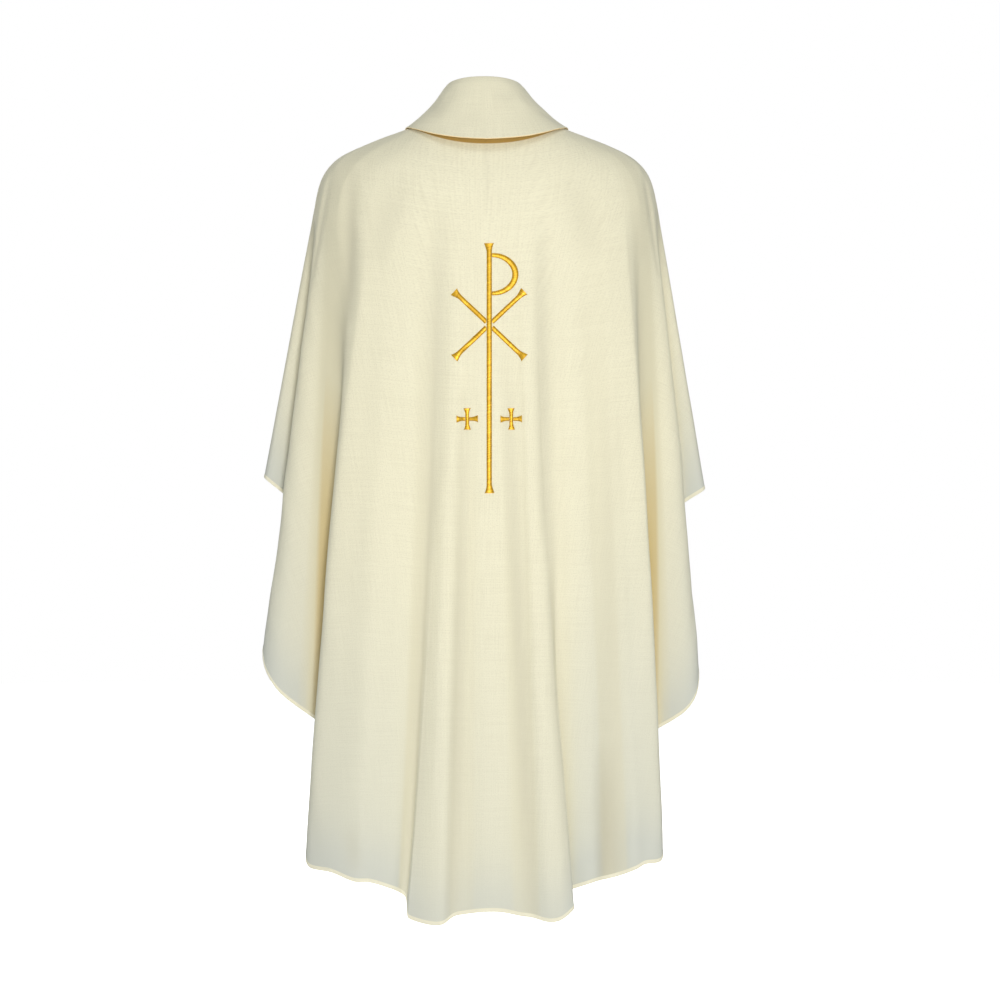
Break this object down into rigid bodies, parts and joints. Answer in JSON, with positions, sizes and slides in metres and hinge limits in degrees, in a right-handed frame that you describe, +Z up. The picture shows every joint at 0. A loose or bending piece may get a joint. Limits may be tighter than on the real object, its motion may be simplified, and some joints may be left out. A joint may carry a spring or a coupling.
{
  "type": "chasuble",
  "caption": "Ample cream chasuble in its worn hollow form, draped in soft folds from the shoulders, with a rolled cowl collar and a raised gold satin-stitch emblem on the back.",
  "frame": {"origin": "middle of the neck base, where the wearer's shoulders carry the garment", "axes": "+Z up, +Y to the front of the garment, so that its back faces -Y, +X to the right of someone who looks at its back"},
  "size_m": [0.7294, 0.3941, 1.3611],
  "materials": {
    "fabric": "matte plain-weave cream cloth",
    "gold_thread": "satin gold embroidery thread"
  },
  "bodies": {
    "root": {"back_panel": "fabric", "front_panel": "fabric", "collar": "fabric", "emblem_staff": "gold_thread", "emblem_bowl": "gold_thread", "emblem_arm_upper_left": "gold_thread", "emblem_arm_upper_right": "gold_thread", "emblem_arm_lower_left": "gold_thread", "emblem_arm_lower_right": "gold_thread", "crosslet_left_upright": "gold_thread", "crosslet_left_bar_left": "gold_thread", "crosslet_left_bar_right": "gold_thread", "crosslet_right_upright": "gold_thread", "crosslet_right_bar_left": "gold_thread", "crosslet_right_bar_right": "gold_thread"}
  },
  "joints": []
}
